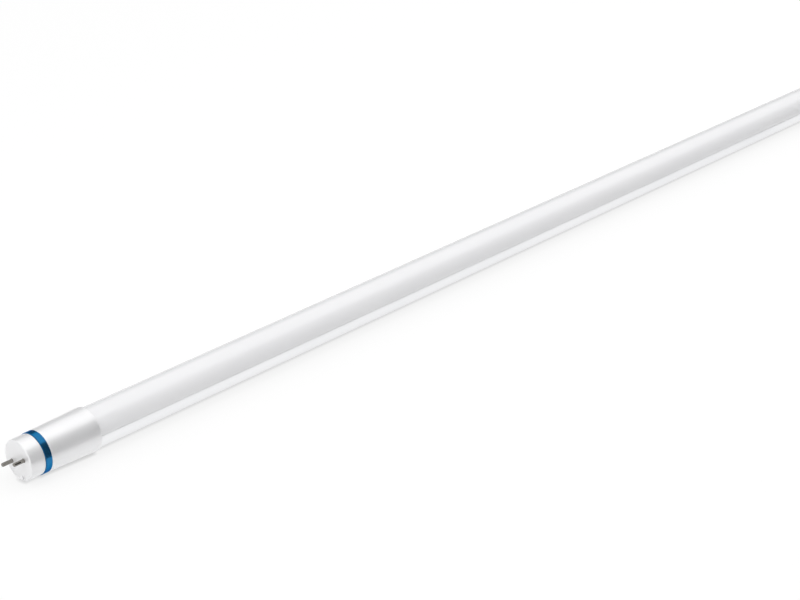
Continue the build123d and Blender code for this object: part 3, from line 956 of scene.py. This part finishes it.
class LAMP_OT_caps(bpy.types.Operator):
    """Turn the two caps and cut their pin holes, windows, snap slots and notch"""

    bl_idname = "lamp.caps"
    bl_label = "Caps"

    def execute(self, context):
        sizes = context.scene.end_sizes
        outline = [
            (0, 0),
            (0, CAP_RADIUS),
            (CAP_BACK, CAP_RADIUS),
            (CAP_BACK, LIP_RADIUS),
            (LIP_END, LIP_RADIUS),
            (LIP_END, LIP_INNER),
            (CAP_FACE, LIP_INNER),
            (CAP_FACE, HUB_RADIUS),
            (SNAP_START, HUB_RADIUS),
            (SNAP_START, SNAP_RADIUS),
            (SNAP_END, SNAP_LEAD),
            (SNAP_END, HUB_BORE),
            (CAP_FACE, HUB_BORE),
            (CAP_FACE, 0),
        ]
        outline = rounded(outline, {1: sizes.cap_round, 2: sizes.skirt_round}, steps=FINE_CORNER_STEPS)
        for end, side in ENDS:
            obj = place(f"{end}_cap_moulding", lathe(side, outline, sizes.turn_steps))
            lug = sector(LUG_INNER, LUG_RADIUS, LUG_WAY, LUG_ANGLE, LUG_STEPS)
            carve(obj, "UNION", prism(side, lug, LUG_START, LUG_END))
            cuts = [prism(side, bar(CROSS_LENGTH, WINDOW_WIDTH, PIN_LINE), WINDOW_START, WINDOW_END)]
            for way in (PIN_LINE - pi / 4, PIN_LINE + pi / 4):
                slot = bar(CROSS_LENGTH, SNAP_SLOT, way)
                cuts.append(prism(side, slot, SNAP_SLOT_START, SNAP_END + CUT_OVERLAP))
            for hand in (-1, 1):
                centre = (hand * PIN_ORBIT * cos(PIN_LINE), hand * PIN_ORBIT * sin(PIN_LINE))
                hole = circle(centre, PIN_HOLE, sizes.pin_steps)
                cuts.append(prism(side, hole, -CUT_OVERLAP, CAP_FACE + CUT_OVERLAP))
            notch = bar(NOTCH_LENGTH, NOTCH_WIDTH, NOTCH_WAY, NOTCH_ORBIT)
            cuts.append(prism(side, notch, -CUT_OVERLAP, NOTCH_DEPTH))
            carve(obj, "DIFFERENCE", *cuts)
            settle(obj, "white_moulding", f"{end}_end", f"{end}_cap")
        return {"FINISHED"}


class LAMP_OT_pins(bpy.types.Operator):
    """Turn the contact pins with their rounded tips and thicker shanks"""

    bl_idname = "lamp.pins"
    bl_label = "Pins"

    def execute(self, context):
        sizes = context.scene.end_sizes
        outline = [
            (-PIN_LENGTH, 0),
            (-PIN_LENGTH, PIN_RADIUS),
            (0, PIN_RADIUS),
            (0, PIN_SHANK),
            (PIN_END, PIN_SHANK),
            (PIN_END, 0),
        ]
        outline = rounded(outline, {1: sizes.pin_round, 4: sizes.skirt_round}, steps=FINE_CORNER_STEPS)
        for end, side in ENDS:
            pair = bmesh.new()
            for hand in (-1, 1):
                centre = (hand * PIN_ORBIT * cos(PIN_LINE), hand * PIN_ORBIT * sin(PIN_LINE))
                pin = lathe(side, outline, sizes.pin_steps, centre)
                mesh = bpy.data.meshes.new("pin")
                pin.to_mesh(mesh)
                pin.free()
                pair.from_mesh(mesh)
                bpy.data.meshes.remove(mesh)
            obj = place(f"{end}_contact_pins", pair)
            settle(obj, "plated_pin", f"{end}_end", f"{end}_pins")
        return {"FINISHED"}


class LAMP_OT_inner_parts(bpy.types.Operator):
    """Finish the boards, the driver's parts, the leads and the screws"""

    bl_idname = "lamp.inner_parts"
    bl_label = "Inner parts"

    def execute(self, context):
        for subpart in frame["record"]["subparts"]:
            slot = subpart["material_slot"]
            node = frame["nodes"][subpart["node"]]
            if slot in INNER_FINISHES and not node.hide_render:
                node.data.materials.clear()
                node.data.materials.append(finish(slot))
        return {"FINISHED"}


def light_path(tree):
    """How far a ray counts as seeing the background: 1 from the camera, in gloss and through clear things."""
    path = add_node(tree, "ShaderNodeLightPath").outputs
    seen = add_node(
        tree, "ShaderNodeMath", {"operation": "MAXIMUM"}, _0=path["Is Camera Ray"], _1=path["Is Glossy Ray"]
    )
    return add_node(
        tree, "ShaderNodeMath", {"operation": "MAXIMUM"}, _0=seen.outputs[0], _1=path["Is Transmission Ray"]
    ).outputs[0]


def sheet(name, corners, material):
    """A flat stage sheet with its own material, which is not searched as a lamp."""
    material.cycles.emission_sampling = "NONE"
    shape = bmesh.new()
    shape.faces.new([shape.verts.new(corner) for corner in corners])
    obj = place(name, shape)
    obj.data.materials.append(material)
    return obj


def area_lamp(name, location, target, size, radiance):
    """A soft rectangular lamp of a given brightness that faces a place and isn't seen in gloss."""
    lamp = bpy.data.lights.new(name, "AREA")
    lamp.shape = "RECTANGLE"
    lamp.size, lamp.size_y = size
    lamp.energy = radiance * pi * size[0] * size[1]
    obj = bpy.data.objects.new(name, lamp)
    obj.location = location
    obj.rotation_euler = (Vector(target) - Vector(location)).to_track_quat("-Z", "Y").to_euler()
    obj.visible_glossy = False
    bpy.context.scene.collection.objects.link(obj)


class LAMP_OT_stage(bpy.types.Operator):
    """Set the floor, the white surroundings, the lamps, the flags and the camera"""

    bl_idname = "lamp.stage"
    bl_label = "Stage"

    def execute(self, context):
        scene = context.scene
        stage = scene.lamp_stage
        scene.view_settings.view_transform = "Standard"
        ground = CAD_BOX[0].z

        # White paper floor: matt, and lifted to white for the eye, with a fainter glow for rays from matt
        # surfaces that is a painted bounce light on the lamp. Both glows are cut by a painted shade round the
        # lamp, and cut further in the gap under the tube, standing in for the lamp's soft shadow
        paper = bpy.data.materials.new("floor_paper")
        paper.use_nodes = True
        tree = paper.node_tree
        tree.nodes.clear()
        seen = light_path(tree)
        tone = add_node(
            tree,
            "ShaderNodeMix",
            {"data_type": "RGBA"},
            _0=seen,
            _6=(*linear(PAPER_TONE), 1),
            _7=(*linear(PAPER_UNDER_LIFT), 1),
        )
        matt = add_node(tree, "ShaderNodeBsdfDiffuse", Color=tone.outputs[2])
        # The floor's glow: a lift to white for the eye and in gloss, and a fainter painted bounce light for
        # rays from matt surfaces
        give = add_node(
            tree,
            "ShaderNodeMapRange",
            Value=seen,
            To_Min=stage.floor_painted_bounce,
            To_Max=stage.floor_lift,
        )
        amount = give.outputs[0]
        # Painted shade: ambient occlusion cuts the floor's glow near the lamp, a stand-in for its contact
        # shadow
        for reach, shade in ((stage.painted_round_reach, stage.painted_round_shade), (stage.painted_gap_reach, stage.painted_gap_shade)):
            near = add_node(tree, "ShaderNodeAmbientOcclusion", {"samples": PAINTED_SHADE_RAYS}, Distance=reach)
            painted_shade_factor = add_node(
                tree, "ShaderNodeMapRange", Value=near.outputs["AO"], To_Min=1 - shade, To_Max=1.0
            )
            amount = add_node(
                tree, "ShaderNodeMath", {"operation": "MULTIPLY"}, _0=amount, _1=painted_shade_factor.outputs[0]
            ).outputs[0]
        lift = add_node(tree, "ShaderNodeEmission", Strength=amount)
        both = add_node(tree, "ShaderNodeAddShader", _0=matt.outputs[0], _1=lift.outputs[0])
        add_node(tree, "ShaderNodeOutputMaterial", Surface=both.outputs[0])
        half = stage.floor_size / 2
        corners = [(-half, -half, ground), (half, -half, ground), (half, half, ground), (-half, half, ground)]
        sheet("floor", corners, paper)

        # Dark flags: seen only in gloss, they draw the edges that a white studio would lose
        start, end = -FACE_X, stage.flag_length - FACE_X
        low = ground + FLAG_GAP
        for name, foot, y, height, brightness in (
            ("front_flag", -stage.flag_foot, -stage.flag_distance, stage.front_flag, stage.front_glow),
            ("rear_flag", stage.flag_distance, stage.flag_distance, stage.rear_flag, stage.rear_glow),
        ):
            cloth = bpy.data.materials.new(f"{name}_cloth")
            cloth.use_nodes = True
            tree = cloth.node_tree
            tree.nodes.clear()
            glow = add_node(tree, "ShaderNodeEmission", Strength=brightness)
            add_node(tree, "ShaderNodeOutputMaterial", Surface=glow.outputs[0])
            corners = [(start, foot, low), (end, foot, low), (end, y, height), (start, y, height)]
            flag = sheet(name, corners, cloth)
            flag.visible_camera = False
            flag.visible_diffuse = False
            flag.visible_shadow = False
            flag.visible_transmission = False

        # White all round for the eye and in gloss, and only a faint white as light on matt surfaces
        world = bpy.data.worlds.new("studio")
        scene.world = world
        world.use_nodes = True
        tree = world.node_tree
        tree.nodes.clear()
        soft = add_node(tree, "ShaderNodeBackground", Color=(1, 1, 1, 1), Strength=stage.sky)
        white = add_node(tree, "ShaderNodeBackground", Color=(1, 1, 1, 1), Strength=1.0)
        seen = light_path(tree)
        pick = add_node(tree, "ShaderNodeMixShader", _0=seen, _1=soft.outputs[0], _2=white.outputs[0])
        add_node(tree, "ShaderNodeOutputWorld", Surface=pick.outputs[0])

        # Lamps: they light matt surfaces only, as gloss shows the white surroundings and the flags
        below = (stage.softbox_place[0], stage.softbox_place[1], 0)
        area_lamp("softbox", stage.softbox_place, below, stage.softbox_size, stage.softbox_radiance)
        beside = (stage.key_place[0], 0, 0)
        area_lamp("key", stage.key_place, beside, stage.key_size, stage.key_radiance)
        near_face = (-FACE_X, 0, 0)
        end_size = (stage.end_size, stage.end_size)
        area_lamp("end_fill", stage.end_place, near_face, end_size, stage.end_radiance)

        camera = bpy.data.cameras.new("camera")
        camera.lens = stage.lens
        camera.sensor_width = SENSOR_WIDTH
        viewer = bpy.data.objects.new("camera", camera)
        viewer.location = stage.camera_place
        viewer.rotation_euler = (pi / 2 - stage.camera_pitch, 0, stage.camera_yaw - pi / 2)
        scene.collection.objects.link(viewer)
        scene.camera = viewer
        return {"FINISHED"}


STEPS = (
    LAMP_OT_diffuser,
    LAMP_OT_heat_sink,
    LAMP_OT_led_rows,
    LAMP_OT_collars,
    LAMP_OT_rings,
    LAMP_OT_caps,
    LAMP_OT_pins,
    LAMP_OT_inner_parts,
    LAMP_OT_stage,
)


class LAMP_PT_sidebar(bpy.types.Panel):
    """Lists the lamp's steps in the sidebar"""

    bl_idname = "LAMP_PT_sidebar"
    bl_label = "LED tube lamp"
    bl_space_type = "VIEW_3D"
    bl_region_type = "UI"
    bl_category = "Lamp"

    def draw(self, context):
        for step in STEPS:
            self.layout.operator(step.bl_idname)


GROUPS = {
    "tube_sizes": TubeSizes,
    "end_sizes": EndSizes,
    "lamp_colours": LampColours,
    "lamp_stage": StageSettings,
}
CLASSES = (*GROUPS.values(), *STEPS, LAMP_PT_sidebar)


def register():
    for cls in CLASSES:
        bpy.utils.register_class(cls)
    for name, group in GROUPS.items():
        setattr(bpy.types.Scene, name, PointerProperty(type=group))


def unregister():
    for name in GROUPS:
        delattr(bpy.types.Scene, name)
    for cls in reversed(CLASSES):
        bpy.utils.unregister_class(cls)


def main():
    register()
    bpy.ops.lamp.diffuser()
    bpy.ops.lamp.heat_sink()
    bpy.ops.lamp.led_rows()
    bpy.ops.lamp.collars()
    bpy.ops.lamp.rings()
    bpy.ops.lamp.caps()
    bpy.ops.lamp.pins()
    bpy.ops.lamp.inner_parts()
    bpy.ops.lamp.stage()


if __name__ == "__main__":
    main()
